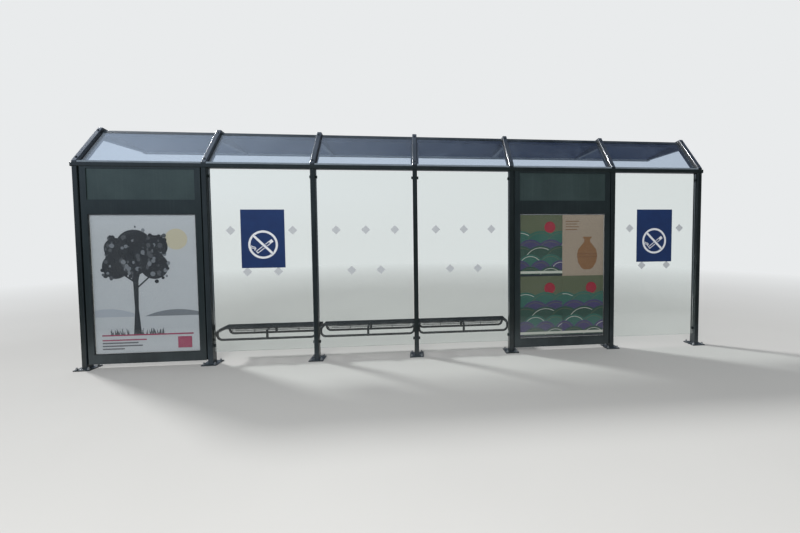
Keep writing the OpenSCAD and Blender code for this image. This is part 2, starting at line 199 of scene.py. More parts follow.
# Paler powder coat on the blank header panels, flat and even
headerPaint = powderCoat({
    "name": "powderCoatHeader", "color": "#273534", "faded": "#303f3e", "dust": "#7a807e",
    "rubbedAndHighlight": "#5a6a69", "edgeRubAndHighlight": 0.3, "mottleMm": 380, "gritMm": 2.0, "streaks": 0.05,
    "dustOnTop": 0.30, "specular": 0.5, "gloss": 0.3, "roughness": (0.40, 0.52)})

# Thicker coat on the bench tubes and rods, a darker copy of the frame's coat that paints the shade under
# the roof
benchPaintShaded = powderCoat({
    "name": "powderCoatBenchPaintedShade", "color": "#0b1012", "faded": "#11181a", "dust": "#5c6160",
    "rubbedAndHighlight": "#39433f", "edgeMm": 1.2, "edgeRubAndHighlight": 0.25, "mottleMm": 120, "gritMm": 1.8, "streaks": 0.02,
    "dustOnTop": 0.05, "splash": 0.06, "specular": 0.2, "gloss": 0.10, "roughness": (0.34, 0.46)})

# Slate-blue coated sheet of the flat roof, a soft sheen over faint waviness
deckPaint = powderCoat({
    "name": "coatedSheetSlate", "color": "#364157", "faded": "#3e4a62", "dust": "#7c8088",
    "rubbedAndHighlight": "#566072", "edgeMm": 1.0, "edgeRubAndHighlight": 0.3, "mottleMm": 900, "gritMm": 6.0, "streaks": 0.0,
    "dustOnTop": 0.40, "specular": 0.1, "gloss": 0.0, "roughness": (0.56, 0.68)})

# Grey coat of the eave channel: dulled by lime and dust that the rain leaves there, and paled as a painted
# sky reflection
channelPaintWithReflection = powderCoat({
    "name": "powderCoatChannelSkyReflection", "color": "#66707a", "faded": "#747f88", "dust": "#8b9092",
    "rubbedAndHighlight": "#6e777a", "edgeMm": 0.8, "edgeRubAndHighlight": 0.3, "mottleMm": 180, "streaks": 0.20,
    "dustOnTop": 0.45, "specular": 0.3, "gloss": 0.2, "roughness": (0.34, 0.46)})

# Front gutter: black-green, pale grey on the side towards the wall
fasciaPaint = powderCoat({
    "name": "powderCoatFascia", "color": "#101817", "faded": "#182120", "rubbedAndHighlight": "#495552",
    "mottleMm": 300, "streaks": 0.05, "dustOnTop": 0.34, "specular": 0.3, "gloss": 0.3,
    "liner": "#c4cace"})


def zincSheet(look):
    material, tree, place = newMaterial(look["name"])
    rounded = addNode(tree, "Bevel", {"Radius": look["edgeMm"] / 1000}, "Normal", samples=4)
    # crystals of the zinc, drawn larger than real so that they show
    spangle = addNode(tree, "TexVoronoi", {
        "Vector": place, "Scale": perMetre(look["spangleMm"]), "Randomness": 1.0}, "Color")
    cloud = addNode(tree, "TexNoise", {
        "Vector": place, "Scale": perMetre(look["cloudMm"]), "Detail": 5.0}, "Fac")
    sheet = addNode(tree, "BsdfPrincipled", {
        "Base Color": layered(tree, look["color"], [
            (addNode(tree, "SeparateColor", (spangle,), 0), look["pale"], 0.0, 1.0, 0.15, 0.85),
            (cloud, look["oxide"], 0.42, 0.68, 0.0, 0.7)]),
        "Metallic": 0.85,
        "Roughness": addNode(tree, "MapRange", (cloud, 0.3, 0.7, *look["roughness"]), 0),
        "Normal": rounded}, 0)
    addNode(tree, "OutputMaterial", (sheet,))
    return material


# Hot-dip galvanised steel: grey, cloudy, with flat crystals that catch the light one by one
zinc = zincSheet({
    "name": "galvanisedSteel", "color": "#7f858a", "pale": "#9ba1a4", "oxide": "#71767a",
    "edgeMm": 0.8, "spangleMm": 14, "cloudMm": 90, "roughness": (0.32, 0.55)})

# A2 stainless fasteners, turned bright with fine dull patches
stainless = zincSheet({
    "name": "stainlessFastener", "color": "#9b9fa1", "pale": "#b9bcbd", "oxide": "#7a7b79",
    "edgeMm": 0.5, "spangleMm": 3, "cloudMm": 8, "roughness": (0.24, 0.42)})


# Glass

def clearGlass(look):
    material, tree, place = newMaterial(look["name"])
    film = addNode(tree, "TexNoise", {
        "Vector": place, "Scale": perMetre(look["filmMm"]), "Detail": 7.0, "Roughness": 0.65}, "Fac")
    # dried rain and dust scatter a little light where the film is thick
    clear = addNode(tree, "MapRange", (film, 0.38, 0.80, 1.0, 1.0 - look["haze"]), 0)
    if "leftDustAndGlow" in look:
        # the film thickens towards the left end: more dust there, and a painted brightening of those panes
        # by the light from that side
        along = addNode(tree, "SeparateXYZ", (place,), "X")
        towardLeft = addNode(tree, "MapRange", (along, *look["hazeFromTo"]), 0)
        towardLeft = addNode(tree, "Math", (towardLeft, look["hazePower"]), 0, operation="POWER")
        clear = addNode(tree, "Math", (towardLeft, -look["leftDustAndGlow"], clear), 0,
                        operation="MULTIPLY_ADD", use_clamp=True)
    pane = addNode(tree, "BsdfPrincipled", {
        "Base Color": look["color"], "Roughness": 0.0, "IOR": look["ior"],
        "Transmission Weight": clear}, 0)
    # lamps and soft light reach what stands behind the pane
    passing = addNode(tree, "BsdfTransparent", (look["shadow"],), 0)
    path = addNode(tree, "LightPath").outputs
    lit = addNode(tree, "Math", (path["Is Shadow Ray"], path["Is Diffuse Ray"]), 0, operation="MAXIMUM")
    addNode(tree, "OutputMaterial", (addNode(tree, "MixShader", (lit, pane, passing), 0),))
    return material


# Toughened float glass: clear with a grey-green cast and a light film of dust
wallGlass = clearGlass({
    "name": "toughenedGlassClear", "color": "#f3f8f6", "shadow": "#f4f7f6", "filmMm": 420, "haze": 0.02,
    "ior": 1.52})

# Toughened glass of the roof with a sun-shield coat: it mirrors more and has a thin film of dust, thicker
# and painted brighter towards the left end
roofGlass = clearGlass({
    "name": "toughenedGlassRoof", "color": "#ccd9e8", "shadow": "#e4e9ec", "filmMm": 260, "haze": 0.04,
    "leftDustAndGlow": 0.20, "hazeFromTo": (2.0, -4.1), "hazePower": 1.6, "ior": 1.6})

# Thin clear glass over the posters
caseGlass = clearGlass({
    "name": "floatGlassCase", "color": "#f3f6f5", "shadow": "#fafcfb", "filmMm": 500, "haze": 0.015,
    "ior": 1.52})


def rubberSeal(look):
    material, tree, place = newMaterial(look["name"])
    dust = addNode(tree, "TexNoise", {
        "Vector": place, "Scale": perMetre(look["dustMm"]), "Detail": 5.0}, "Fac")
    rubber = addNode(tree, "BsdfPrincipled", {
        "Base Color": layered(tree, look["color"], [(dust, look["dust"], 0.4, 0.75, 0.0, 0.6)]),
        "Roughness": addNode(tree, "MapRange", (dust, 0.3, 0.7, *look["roughness"]), 0),
        "IOR": 1.5}, 0)
    addNode(tree, "OutputMaterial", (rubber,))
    return material


# EPDM rubber seals: matt black with grey patches of dust
rubber = rubberSeal({
    "name": "epdmRubber", "color": "#1f2224", "dust": "#50555a", "dustMm": 60, "roughness": (0.55, 0.8)})


# Printed paper, sign film and laminate

def printedSheet(look):
    material, tree, place = newMaterial(look["name"])
    fibre = addNode(tree, "TexNoise", {
        "Vector": place, "Scale": perMetre(look["fibreMm"]), "Detail": 6.0, "Roughness": 0.7}, "Fac")
    cockle = addNode(tree, "TexNoise", {
        "Vector": place, "Scale": perMetre(look["cockleMm"]), "Detail": 2.0}, "Fac")
    bump = addNode(tree, "Bump", {
        "Height": cockle, "Strength": 0.4, "Distance": look["cockleDepth"]}, "Normal")
    sheet = addNode(tree, "BsdfPrincipled", {
        "Base Color": layered(tree, look["color"], [(fibre, look["tone"], 0.3, 0.7)]),
        "Roughness": addNode(tree, "MapRange", (fibre, 0.3, 0.7, *look["roughness"]), 0),
        "IOR": 1.46,
        "Normal": bump}, 0)
    addNode(tree, "OutputMaterial", (sheet,))
    return material


# Offset ink on blueback poster paper: flat, slightly uneven, the sheet cockled by damp
inks = {
    "pale": ("#b6b8bf", "#abaeb7"), "charcoal": ("#2b2d34", "#33363c"), "graphite": ("#484b52", "#54575e"),
    "smoke": ("#6d717a", "#777b84"), "magenta": ("#9a2452", "#8a2049"), "straw": ("#bdb5a2", "#b1a997"),
    "silver": ("#a3a8b2", "#989daa"), "teal": ("#356459", "#2e574f"), "forest": ("#2a453c", "#304c42"),
    "olive": ("#5b6049", "#525843"), "violet": ("#443e66", "#3d385c"), "red": ("#992236", "#8b1c2e"),
    "cream": ("#bcbcb4", "#b1b1aa"), "night": ("#1d232b", "#252c34"), "sand": ("#9b8b7c", "#918173"),
    "umber": ("#7a5334", "#6c492e"), "clay": ("#855d3b", "#795435")}
paper = {}
for ink, (color, tone) in inks.items():
    kind = "posterPaper" if ink in ("pale", "sand") else "posterInk"
    paper[ink] = printedSheet({
        "name": kind + ink.capitalize(), "color": color, "tone": tone, "fibreMm": 18, "cockleMm": 240,
        "cockleDepth": 0.004, "roughness": (0.50, 0.62)})

# White high-pressure laminate of the light box, smooth and satin
laminate = printedSheet({
    "name": "laminateWhite", "color": "#dcdcd6", "tone": "#d2d2cc", "fibreMm": 90, "cockleMm": 600,
    "cockleDepth": 0.001, "roughness": (0.35, 0.45)})

# Screen-printed PVC panel, dark blue with a low gloss
signBlue = printedSheet({
    "name": "pvcPanelBlue", "color": "#1b3360", "tone": "#182d57", "fibreMm": 130, "cockleMm": 500,
    "cockleDepth": 0.001, "roughness": (0.32, 0.42)})
signWhite = printedSheet({
    "name": "pvcPrintWhite", "color": "#d9dbde", "tone": "#cdd0d4", "fibreMm": 40, "cockleMm": 500,
    "cockleDepth": 0.001, "roughness": (0.32, 0.42)})

# Etch-look vinyl of the warning diamonds: pale grey and matt
frosted = printedSheet({
    "name": "etchedVinyl", "color": "#b9bdc0", "tone": "#aeb2b6", "fibreMm": 6, "cockleMm": 60,
    "cockleDepth": 0.0004, "roughness": (0.6, 0.75)})

print("stage 3: materials made")

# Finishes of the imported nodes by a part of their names; all others have the frame's coat

nodeFinish = {
    "front_gutter": fasciaPaint, "eave_gutter": channelPaintWithReflection, "glazing_ledges": zinc,
    "roof_glass": roofGlass, "roof_deck": deckPaint, "wall_glass_": wallGlass, "bench_": benchPaintShaded,
    "_case_frame": casePaint, "_case_header": headerPaint, "_case_board": laminate,
    "_case_posters": paper["pale"], "_case_glass": caseGlass, "_sign": signBlue,
}
for name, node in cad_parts.items():
    finish = next((material for part, material in nodeFinish.items() if part in name), framePaint)
    if not node.material_slots:
        node.data.materials.append(finish)
    for place in node.material_slots:
        place.material = finish
print("stage 4: packed nodes dressed")


# Mesh helpers: each adds closed shapes to a bmesh, so that many small things share one piece

def meshObject(name, bm, materials):
    mesh = bpy.data.meshes.new(name)
    bm.to_mesh(mesh)
    bm.free()
    for material in materials:
        mesh.materials.append(material)
    meshed = bpy.data.objects.new(name, mesh)
    scene.collection.objects.link(meshed)
    return meshed


def makePiece(name, bm, materials, smoothDeg=None):
    bmesh.ops.recalc_face_normals(bm, faces=bm.faces)
    piece = meshObject(name, bm, materials)
    if smoothDeg is not None:
        piece.data.shade_smooth()
        piece.data.set_sharp_from_angle(angle=math.radians(smoothDeg))
    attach(piece, "root")
    return piece


def skin(bm, rings, layer=0):
    # closed shape through rings of points; a ring of one point is a tip
    rows = [[bm.verts.new(point) for point in ring] for ring in rings]
    count = max(len(row) for row in rows)
    outlines = [rows[0][::-1], rows[-1]]
    for first, second in zip(rows, rows[1:]):
        for k in range(count):
            after = (k + 1) % count
            corners = [first[k % len(first)], first[after % len(first)],
                       second[after % len(second)], second[k % len(second)]]
            outlines.append([v for n, v in enumerate(corners) if v not in corners[:n]])
    for outline in outlines:
        if len(outline) > 2:
            bm.faces.new(outline).material_index = layer


def prism(bm, outline, depth, place, layer=0):
    # outline in local x and y, pushed along local z by depth
    skin(bm, [[place @ Vector((x, y, z)) for x, y in outline] for z in (0.0, depth)], layer)


def lathe(bm, profile, sides, place):
    # profile of (radius, height) pairs from the axis round to the axis
    turns = [2 * math.pi * k / sides for k in range(sides)]
    skin(bm, [[place @ Vector((radius * math.cos(a), radius * math.sin(a), height))
               for a in (turns if radius else turns[:1])] for radius, height in profile])


def axesAt(origin, x, y, z):
    # matrix that puts local x, y and z along these axes
    return Matrix.Translation(origin) @ Matrix((x, y, z)).transposed().to_4x4()


def pointing(origin, direction):
    # local z looks along a direction that isn't upright
    axis = Vector(direction).normalized()
    side = Vector((0.0, 0.0, 1.0)).cross(axis).normalized()
    return axesAt(origin, side, axis.cross(side), axis)


def facing(side, face, centreX, centreZ):
    # local x and y run along the wall and up, local z out of the face, read from that side
    return axesAt((centreX, face, centreZ), (-side, 0, 0), (0, 0, 1), (0, side, 0))


def oblong(x0, z0, x1, z1):
    return [(x0, z0), (x1, z0), (x1, z1), (x0, z1)]


def upright(bm, radius, height, sides, place, inward, down):
    # round or many-sided bar whose top edge is cut by so much inward and down
    lathe(bm, [(0.0, 0.0), (radius, 0.0), (radius, height - down), (radius - inward, height),
               (0.0, height)], sides, place)


def boltHead(bm, size, place, turn=0.0):
    # a hexagon head or nut, turned on its washer, both with edges cut by parts of their size
    radius = size["washerDia"] / 2
    rise = size["washerHeight"]
    upright(bm, radius, rise, 24, place, radius * 0.04, rise * 0.3)
    radius = size["headWidth"] / 2 / math.cos(math.pi / 6)
    seat = place @ Matrix.Translation((0.0, 0.0, rise)) @ Matrix.Rotation(turn, 4, "Z")
    upright(bm, radius, size["headHeight"], 6, seat, radius * 0.14, size["headHeight"] * 0.18)


# Welded tubes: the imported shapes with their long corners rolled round, as hollow sections have

tube = {"cornerRadius": 0.008, "segments": 4, "smoothDeg": 40.0, "legDepth": 0.120, "packedLegDepth": 0.100,
        "underLegFrom": 0.080, "armFromY": 0.9, "bendWithin": 0.0005, "footBelowZ": 2.6}
slope = math.radians(shelter["slopeDeg"])
footZ = boxOf("eave_gutter")[1].z


def rolledTube(node, isCorner, paint=framePaint, reshape=None):
    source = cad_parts[node]
    bm = bmesh.new()
    bm.from_mesh(source.data)
    bm.transform(source.matrix_world)
    bmesh.ops.remove_doubles(bm, verts=bm.verts, dist=0.00001)
    bmesh.ops.dissolve_limit(bm, angle_limit=math.radians(0.5), verts=bm.verts, edges=bm.edges)
    if reshape:
        reshape(bm)
    bm.normal_update()
    corners = [edge for edge in bm.edges if len(edge.link_faces) == 2 and isCorner(edge)]
    bmesh.ops.bevel(bm, geom=corners, offset=tube["cornerRadius"], offset_type="OFFSET",
                    segments=tube["segments"], profile=0.5, affect="EDGES", clamp_overlap=True)
    piece = makePiece(node + "_tube", bm, [paint], tube["smoothDeg"])
    piece.modifiers.new("faceWeights", "WEIGHTED_NORMAL").keep_sharp = True
    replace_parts(piece, node)
    return piece


def runsAlong(axis, least):
    # picks edges parallel to an axis and at least so long
    def pick(edge):
        line = edge.verts[1].co - edge.verts[0].co
        return line.length > least and abs(line[axis]) > 0.999 * line.length
    return pick


def frameCorner(edge):
    # the outline of a roof frame's two sides, without its foot and its front end
    sides = [face for face in edge.link_faces if abs(face.normal.x) > 0.99]
    rims = [face for face in edge.link_faces if abs(face.normal.x) < 0.01]
    if len(sides) != 1 or len(rims) != 1:
        return False
    isFoot = rims[0].normal.z < -0.99 and edge.verts[0].co.z < tube["footBelowZ"]
    return not isFoot and rims[0].normal.y < 0.99


def deepenLeg(bm):
    # the underside of the steep leg moves level along the wall's normal, so the bend keeps its round
    armUnder = min(v.co.z for v in bm.verts if v.co.y > tube["armFromY"])
    shift = (tube["legDepth"] - tube["packedLegDepth"]) / math.sin(slope)
    for v in bm.verts:
        deep = (v.co.y + shelter["postDepth"] / 2) * math.sin(slope) - (v.co.z - footZ) * math.cos(slope)
        belowBend = v.co.z < armUnder + tube["bendWithin"] and v.co.y < tube["armFromY"]
        if belowBend and deep > tube["underLegFrom"]:
            v.co.y += shift


roofTubes = []
for number in range(1, shelter["postCount"] + 1):
    rolledTube("post_%d" % number, runsAlong(2, 1.0))
    roofTubes.append(rolledTube("roof_frame_%d" % number, frameCorner, roofPaint, deepenLeg))
rolledTube("eave_beam", runsAlong(0, 0.5))
rolledTube("ridge_purlin", runsAlong(0, 0.5), purlinPaint)

# Anchor bolts: stud, washer and nut at the four corners of each foot plate

anchors = {"alongWall": 0.130, "acrossWall": 0.150, "studDia": 0.016, "studRise": 0.026, "studEdge": 0.0015,
           "studSides": 20, "headWidth": 0.024, "headHeight": 0.013, "washerDia": 0.030,
           "washerHeight": 0.003}
bm = bmesh.new()
for x in postX:
    for sx in (-1, 1):
        for sy in (-1, 1):
            foot = Matrix.Translation((x + sx * anchors["alongWall"] / 2, sy * anchors["acrossWall"] / 2,
                                       shelter["footPlate"]))
            boltHead(bm, anchors, foot, random.Random(round(x * 100) + sx * 3 + sy).uniform(0, 1))
            upright(bm, anchors["studDia"] / 2, anchors["studRise"], anchors["studSides"],
                    foot @ Matrix.Translation((0.0, 0.0, anchors["washerHeight"])),
                    anchors["studEdge"], anchors["studEdge"])
makePiece("anchor_bolts", bm, [stainless], smoothDeg=35)

# Weld beads round the posts on their plates, slightly uneven as laid by hand

weld = {"size": 0.006, "step": 0.005, "uneven": 0.0008, "bulge": 0.62}
bm = bmesh.new()
dice = random.Random(11)
for x in postX:
    halfX = shelter["postWidth"] / 2
    halfY = shelter["postDepth"] / 2
    corners = oblong(x - halfX, -halfY, x + halfX, halfY)
    for k in range(4):
        start = Vector((*corners[k], shelter["footPlate"]))
        along = Vector((*corners[(k + 1) % 4], shelter["footPlate"])) - start
        outward = Vector((along.y, -along.x, 0.0)).normalized()
        count = max(4, round(along.length / weld["step"]))
        rings = []
        for n in range(count + 1):
            at = start + along * (n / count)
            size = weld["size"] + dice.uniform(-1, 1) * weld["uneven"]
            rise = Vector((0.0, 0.0, size))
            rings.append([at, at + outward * size, at + (outward * size + rise) * weld["bulge"], at + rise])
        skin(bm, rings)
makePiece("foot_welds", bm, [framePaint], smoothDeg=60)

# Bolts through the roof frames: two on each sloping top face

frameBolts = {"fromFoot": 0.060, "fromBend": 0.055, "headWidth": 0.019, "headHeight": 0.008,
              "washerDia": 0.026, "washerHeight": 0.0025}
upSlope = Vector((0.0, math.cos(slope), math.sin(slope)))
outSlope = Vector((0.0, -math.sin(slope), math.cos(slope)))
footLine = Vector((0.0, -shelter["postDepth"] / 2, footZ))
slopeLength = (boxOf("roof_frame_1")[1].z - footZ) / math.sin(slope)
bm = bmesh.new()
for x in postX:
    for along in (frameBolts["fromFoot"], slopeLength - frameBolts["fromBend"]):
        at = footLine + upSlope * along + Vector((x, 0.0, 0.0))
        boltHead(bm, frameBolts, pointing(at, outSlope))
makePiece("roof_frame_bolts", bm, [framePaint], smoothDeg=35)

# Rubber seals along both sides of each roof pane

seal = {"width": 0.006, "height": 0.003, "fromFoot": 0.004, "shorter": 0.075, "steps": 6}
arc = [(seal["width"] * (1 - math.cos(a)) * 0.5, seal["height"] * math.sin(a))
       for a in [math.pi * k / seal["steps"] for k in range(seal["steps"] + 1)]]
bm = bmesh.new()
for bay in range(shelter["postCount"] - 1):
    for x, toPane in ((postX[bay], 1), (postX[bay + 1], -1)):
        start = footLine + upSlope * seal["fromFoot"] - outSlope * shelter["glassDrop"]
        start.x = x + toPane * shelter["postWidth"] / 2
        prism(bm, arc, slopeLength - seal["shorter"], axesAt(start, (toPane, 0, 0), outSlope, upSlope))
makePiece("roof_glass_seals", bm, [rubber], smoothDeg=50)

# Rubber frame round each poster window, on both sides

caseSeal = {"width": 0.009, "proud": 0.004}
bm = bmesh.new()
for case in ("left_case", "right_case"):
    low, high = boxOf(case + "_glass")
    middle = (low + high) / 2
    x, y, z = (high - low) / 2
    w = caseSeal["width"]
    for side in (-1, 1):
        place = facing(side, middle.y + side * y, middle.x, middle.z)
        for bar in (oblong(-x, -z, x, w - z), oblong(-x, z - w, x, z),
                    oblong(-x, w - z, w - x, z - w), oblong(x - w, w - z, x, z - w)):
            prism(bm, bar, caseSeal["proud"], place)
makePiece("case_glass_seals", bm, [rubber])

print("stage 5: fasteners and seals made")


# Flat print: outlines in x and z, stacked as thin coloured shapes on one face of a node

def circleLine(cx, cz, radius, start=0.0, end=360.0, count=48):
    turns = [math.radians(start + (end - start) * k / count) for k in range(count + 1)]
    if end - start >= 360.0:
        turns = turns[:-1]
    return [(cx + radius * math.cos(a), cz + radius * math.sin(a)) for a in turns]


def acrossLine(points):
    # unit vectors across an open line, one at each of its points
    pairs = zip([points[0], *points[:-1]], [*points[1:], points[-1]])
    return [Vector((a[1] - b[1], b[0] - a[0])).normalized() for a, b in pairs]


def bandLine(points, width):
    # outline of a stroke of even width along an open line
    sides = [across * width / 2 for across in acrossLine(points)]
    left = [tuple(Vector(point) + side) for point, side in zip(points, sides)]
    right = [tuple(Vector(point) - side) for point, side in zip(points, sides)]
    return left + right[::-1]


def clipLine(outline, x0, z0, x1, z1):
    # cuts an outline at the sides of a window
    for axis, limit, sign in ((0, x0, 1), (0, x1, -1), (1, z0, 1), (1, z1, -1)):
        kept = []
        for k, point in enumerate(outline):
            other = outline[k - 1]
            isInside = (point[axis] - limit) * sign >= 0
            if isInside != ((other[axis] - limit) * sign >= 0):
                part = (limit - other[axis]) / (point[axis] - other[axis])
                kept.append(tuple(a + (b - a) * part for a, b in zip(other, point)))
            if isInside:
                kept.append(point)
        outline = kept
    return outline


def openPrint(node, side, drop=0.0):
    # drop is how far the middle of the design lies below the middle of the node
    low, high = boxOf(node)
    x, y, z = (high - low) / 2
    middle = (low + high) / 2
    place = facing(side, middle.y + side * y, middle.x, middle.z - drop)
    return {"bm": bmesh.new(), "inks": [], "depth": 0.0, "place": place,
            "window": (-x, -z - drop, x, z + drop)}


def stamp(sheet, outline, ink, film=0.0001):
    # each new shape is cut at the window and lies a film higher than the ones before it
    if ink not in sheet["inks"]:
        sheet["inks"].append(ink)
    shape = clipLine(outline, *sheet["window"])
    if len(shape) > 2:
        sheet["depth"] += film
        prism(sheet["bm"], shape, sheet["depth"], sheet["place"], sheet["inks"].index(ink))


treeDesign = {
    "sun": (0.36, 0.55, 0.13),
    "hills": ((-0.45, -1.05, 0.75, "silver"), (0.34, -1.22, 0.90, "smoke")),
    "hillWindow": (-0.598, -0.40, 0.598, 0.80),
    "trunk": ((-0.165, -0.62), (-0.075, -0.62), (-0.098, -0.30), (-0.088, 0.05), (-0.045, 0.22),
              (-0.075, 0.24), (-0.120, 0.12), (-0.165, 0.28), (-0.200, 0.25), (-0.150, 0.02),
              (-0.142, -0.30)),
    "branches": ((((-0.12, 0.02), (-0.28, 0.14), (-0.40, 0.18)), 0.020),
                 (((-0.10, -0.04), (0.05, 0.10), (0.20, 0.15)), 0.018),
                 (((-0.15, 0.22), (-0.22, 0.42), (-0.20, 0.60)), 0.016),
                 (((-0.06, 0.20), (0.04, 0.38), (0.03, 0.56)), 0.016)),
    "crowns": ((-0.34, 0.22, 0.15), (0.10, 0.22, 0.16), (-0.12, 0.46, 0.21), (-0.33, 0.44, 0.13),
               (0.12, 0.46, 0.14), (-0.12, 0.24, 0.13)),
    "leafTones": ("charcoal", "charcoal", "graphite", "smoke"), "leaves": 170,
    "leafReach": (0.02, 1.5), "leafSize": (0.014, 0.034), "leafSlim": 0.45,
    "blades": 36, "bladeX": (-0.42, 0.20), "bladeLean": 0.02, "bladeHeight": (0.03, 0.08),
    "bladeHalf": 0.006,
    "groundZ": -0.62, "ruleX": 0.52, "ruleDrop": 0.015, "lines": (0.496, 0.40, 0.448, 0.24),
    "linesZ": -0.68, "linePitch": 0.036, "lineWidth": 0.014, "badge": (0.34, -0.805, 0.50, -0.665),
    "thinFilm": 0.00002}


def treeSheet(sheet, sign):
    # one tall tree with loose leaves over low hills and ruled ground, on a pale sheet
    design = treeDesign
    dice = random.Random(5)

    def put(outline, ink, film=0.0001):
        stamp(sheet, [(sign * x, z) for x, z in outline], paper[ink], film=film)

    put(circleLine(*design["sun"]), "straw")
    for cx, cz, radius, ink in design["hills"]:
        put(clipLine(circleLine(cx, cz, radius, count=72), *design["hillWindow"]), ink)
    put(design["trunk"], "charcoal")
    for points, width in design["branches"]:
        put(bandLine(points, width), "charcoal")
    for crown in design["crowns"]:
        put(circleLine(*crown), "charcoal")
    for k in range(design["leaves"]):
        x, z, radius = design["crowns"][k % len(design["crowns"])]
        angle = dice.uniform(0, 2 * math.pi)
        reach = radius * math.sqrt(dice.uniform(*design["leafReach"]))
        size = dice.uniform(*design["leafSize"])
        turn = dice.uniform(0, 180)
        slim = 1 - design["leafSlim"] * (1 - abs(math.cos(math.radians(turn))))
        leaf = [(x + reach * math.cos(angle) + px * slim, z + reach * math.sin(angle) + pz)
                for px, pz in circleLine(0, 0, size, turn, turn + 360, count=8)]
        put(leaf, design["leafTones"][dice.randrange(4)], design["thinFilm"])
    ground = design["groundZ"]
    for k in range(design["blades"]):
        x = dice.uniform(*design["bladeX"])
        lean = dice.uniform(-design["bladeLean"], design["bladeLean"])
        put([(x - design["bladeHalf"], ground), (x + design["bladeHalf"], ground),
             (x + lean, ground + dice.uniform(*design["bladeHeight"]))], "graphite", design["thinFilm"])
    left = -design["ruleX"]
    put(oblong(left, ground - design["ruleDrop"], -left, ground), "magenta")
    for k, length in enumerate(design["lines"]):
        z = design["linesZ"] - design["linePitch"] * k
        put(oblong(left, z - design["lineWidth"], left + length, z), "graphite" if k else "magenta")
    put(oblong(*design["badge"]), "magenta")


def openSheet(sheet, window, ink):
    # starts one of the sheets in a case; hands back its lower left corner, its width and its height
    sheet["window"] = window
    stamp(sheet, oblong(*window), paper[ink])
    return window[0], window[1], window[2] - window[0], window[3] - window[1]


# Rows of round hills under a red sun; each row has its ink, level and size as parts of the sheet
hillDesign = {
    "sun": (0.70, 0.80, 0.13), "across": 0.48, "stagger": 0.24,
    "rimInset": 0.05, "rimWidth": 0.007, "rimDeg": (20, 160),
    "rows": (("teal", 0.74, 0.42), ("violet", 0.60, 0.36), ("forest", 0.50, 0.44), ("teal", 0.36, 0.32),
             ("violet", 0.26, 0.26), ("forest", 0.16, 0.34)),
    "stripes": (("cream", 0.045, 0.085), ("night", 0.0, 0.030))}


def hillSheet(sheet, window, shift):
    design = hillDesign
    x0, z0, wide, tall = openSheet(sheet, window, "olive")
    x, z, radius = design["sun"]
    stamp(sheet, circleLine(x0 + wide * x, z0 + tall * z, wide * radius), paper["red"])
    for n, (ink, level, size) in enumerate(design["rows"]):
        for k in range(3):
            cx = x0 + wide * (k * design["across"] + design["stagger"] * (n % 2) + shift)
            cz = z0 + tall * level - wide * size
            stamp(sheet, circleLine(cx, cz, wide * size), paper[ink])
            arch = circleLine(cx, cz, wide * (size - design["rimInset"]), *design["rimDeg"], count=24)
            stamp(sheet, bandLine(arch, design["rimWidth"]), paper["olive" if (n + k) % 3 else "cream"])
    for ink, low, high in design["stripes"]:
        stamp(sheet, oblong(x0, z0 + tall * low, x0 + wide, z0 + tall * high), paper[ink])


# A plain clay jar on a sand-coloured sheet; the profile is half widths and levels as parts of the sheet
jarDesign = {
    "middle": 0.60, "wider": 1.3, "bands": ((0.30, 0.188), (0.35, 0.189)), "bandHeight": 0.018,
    "profile": ((0.055, 0.10), (0.11, 0.13), (0.17, 0.22), (0.19, 0.33), (0.17, 0.43), (0.10, 0.51),
                (0.06, 0.55), (0.055, 0.60), (0.085, 0.625), (0.085, 0.64)),
    "lineLeft": 0.08, "lineRight": (0.40, 0.35), "linesTop": 0.90, "linePitch": 0.045, "lineWidth": 0.012}


def jarSheet(sheet, window):
    design = jarDesign
    x0, z0, wide, tall = openSheet(sheet, window, "sand")
    middle = x0 + wide * design["middle"]
    reach = wide * design["wider"]
    half = design["profile"]
    jar = [(middle + reach * r, z0 + tall * h) for r, h in half]
    jar += [(middle - reach * r, z0 + tall * h) for r, h in half[::-1]]
    stamp(sheet, jar, paper["clay"])
    for h, r in design["bands"]:
        stamp(sheet, oblong(middle - reach * r, z0 + tall * h, middle + reach * r,
                            z0 + tall * (h + design["bandHeight"])), paper["umber"])
    for k in range(4):
        z = z0 + tall * (design["linesTop"] - design["linePitch"] * k)
        stamp(sheet, oblong(x0 + wide * design["lineLeft"], z - tall * design["lineWidth"],
                            x0 + wide * design["lineRight"][k % 2], z), paper["umber"])


a1Sheet = {"wide": 0.594, "tall": 0.841}
w = a1Sheet["wide"]
h = a1Sheet["tall"]
for case in ("left_case", "right_case"):
    for side, word in ((-1, "road"), (1, "waiting")):
        sheet = openPrint(case + "_posters", side)
        if case == "left_case":
            treeSheet(sheet, -side)
        else:
            hillSheet(sheet, (-w, 0.0, 0.0, h), 0.0)
            jarSheet(sheet, (0.0, 0.0, w, h))
            hillSheet(sheet, (-w, -h, 0.0, 0.0), 0.12)
            hillSheet(sheet, (0.0, -h, w, 0.0), 0.05)
        makePiece("%s_print_%s" % (case, word), sheet["bm"], sheet["inks"])

print("stage 6: poster prints made")

# No-smoking signs: a plain crossed-out cigarette in a ring

symbol = {"ringRadius": 0.166, "ringWidth": 0.027, "drop": 0.074, "barWidth": 0.029, "barEdge": 0.014,
          "cigaretteAt": (0.018, -0.022), "tiltDeg": 38, "cigaretteLength": 0.246, "cigaretteWidth": 0.040,
          "filter": 0.048, "line": 0.010, "smokeStarts": ((-0.004, 0.032), (0.014, 0.038)),
          "smokeLength": 0.070, "smokeSwing": 0.012, "smokeTurn": 5.5}
tilt = math.radians(symbol["tiltDeg"])
along = Vector((math.cos(tilt), math.sin(tilt)))
across = Vector((-along.y, along.x))


def onCigarette(points):
    return [tuple(Vector(symbol["cigaretteAt"]) + along * a + across * b) for a, b in points]


